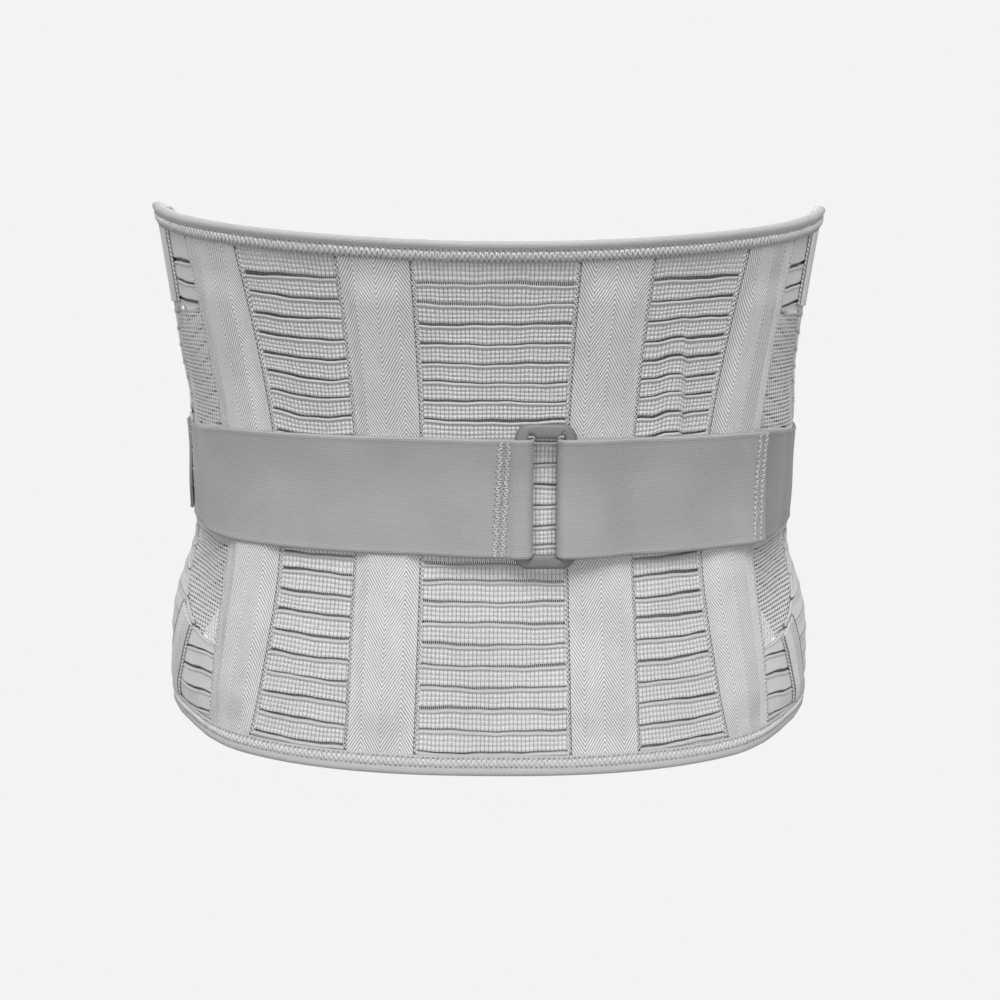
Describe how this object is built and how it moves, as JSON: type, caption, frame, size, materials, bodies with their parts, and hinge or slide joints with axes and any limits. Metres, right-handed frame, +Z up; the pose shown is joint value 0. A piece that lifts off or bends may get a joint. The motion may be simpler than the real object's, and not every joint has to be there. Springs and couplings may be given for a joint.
{
  "type": "lumbar support belt",
  "caption": "Elastic lumbar support belt with slatted knit panels, stay channels, mesh sides and pull straps joined by a ring buckle at the back.",
  "frame": {"origin": "middle of the belt's bounding box in X and Y, on the floor plane under the bottom hem", "axes": "+Z up along the wearer's back, +X to the wearer's right, the back panel faces -Y"},
  "size_m": [0.3408, 0.269, 0.2409],
  "materials": {
    "knit": "matte slatted elastic knit",
    "mesh": "open knit mesh",
    "strip_knit": "smooth fine knit",
    "webbing": "herringbone webbing",
    "binding": "fold-over elastic",
    "stay_plastic": "satin strip",
    "strap_elastic": "woven elastic",
    "pull_webbing": "herringbone webbing",
    "thread": "polyester thread",
    "buckle_plastic": "satin moulded plastic",
    "loop_fabric": "brushed loop pile",
    "hook_fabric": "moulded hook tape"
  },
  "bodies": {
    "back": {"centre_panel": "knit", "back_panel_left": "knit", "back_panel_right": "knit", "channel_inner_left": "webbing", "channel_inner_right": "webbing", "channel_outer_left": "webbing", "channel_outer_right": "webbing", "lining_inner_left": "webbing", "lining_inner_right": "webbing", "lining_outer_left": "webbing", "lining_outer_right": "webbing", "stay_inner_left": "stay_plastic", "stay_inner_right": "stay_plastic", "stay_outer_left": "stay_plastic", "stay_outer_right": "stay_plastic", "side_panel_upper_left": "knit", "side_panel_upper_right": "knit", "side_panel_lower_left": "knit", "side_panel_lower_right": "knit", "side_mesh_upper_left": "mesh", "side_mesh_upper_right": "mesh", "side_mesh_lower_left": "mesh", "side_mesh_lower_right": "mesh", "waist_strip_left": "strip_knit", "waist_strip_right": "strip_knit", "side_tape_upper_left": "webbing", "side_tape_upper_right": "webbing", "side_tape_lower_left": "webbing", "side_tape_lower_right": "webbing", "top_binding_back": "binding", "bottom_binding_back": "binding", "strap_left": "strap_elastic", "strap_right": "strap_elastic", "strap_webbing_right": "pull_webbing", "strap_seam_left": "thread", "strap_seam_right": "thread"},
    "wing_right": {"wing_panel_right": "knit", "closure_cover_panel": "loop_fabric", "closure_hook_patch": "hook_fabric", "edge_binding_right": "binding", "strap_front_right": "strap_elastic"},
    "wing_left": {"wing_panel_left": "knit", "closure_loop_panel": "loop_fabric", "edge_binding_left": "binding", "strap_front_left": "strap_elastic"},
    "tab_right": {"strap_tab_right": "loop_fabric", "tab_hook_right": "hook_fabric"},
    "tab_left": {"strap_tab_left": "loop_fabric", "tab_hook_left": "hook_fabric"},
    "buckle": {"buckle_ring": "buckle_plastic"}
  },
  "joints": [
    {"name": "wing_right_open", "type": "hinge", "parent": "back", "child": "wing_right", "pos_m": [0.1715, 0.003, 0.11], "axis": [0, 0, -1], "range_deg": [0, 100]},
    {"name": "wing_left_open", "type": "hinge", "parent": "back", "child": "wing_left", "pos_m": [-0.1715, 0.003, 0.11], "axis": [0, 0, 1], "range_deg": [0, 52]},
    {"name": "tab_right_peel", "type": "hinge", "parent": "wing_right", "child": "tab_right", "pos_m": [0.1276, 0.0935, 0.1165], "axis": [0, 0, -1], "range_deg": [0, 90]},
    {"name": "tab_left_peel", "type": "hinge", "parent": "wing_left", "child": "tab_left", "pos_m": [-0.1276, 0.0935, 0.1165], "axis": [0, 0, 1], "range_deg": [0, 90]},
    {"name": "buckle_float", "type": "slide", "parent": "back", "child": "buckle", "axis": [0, 0, 1], "range_m": [-0.0014, 0.0001]}
  ],
  "couplings": [
    {"joint": "wing_left_open", "follows": "wing_right_open", "ratio": 0.5}
  ]
}
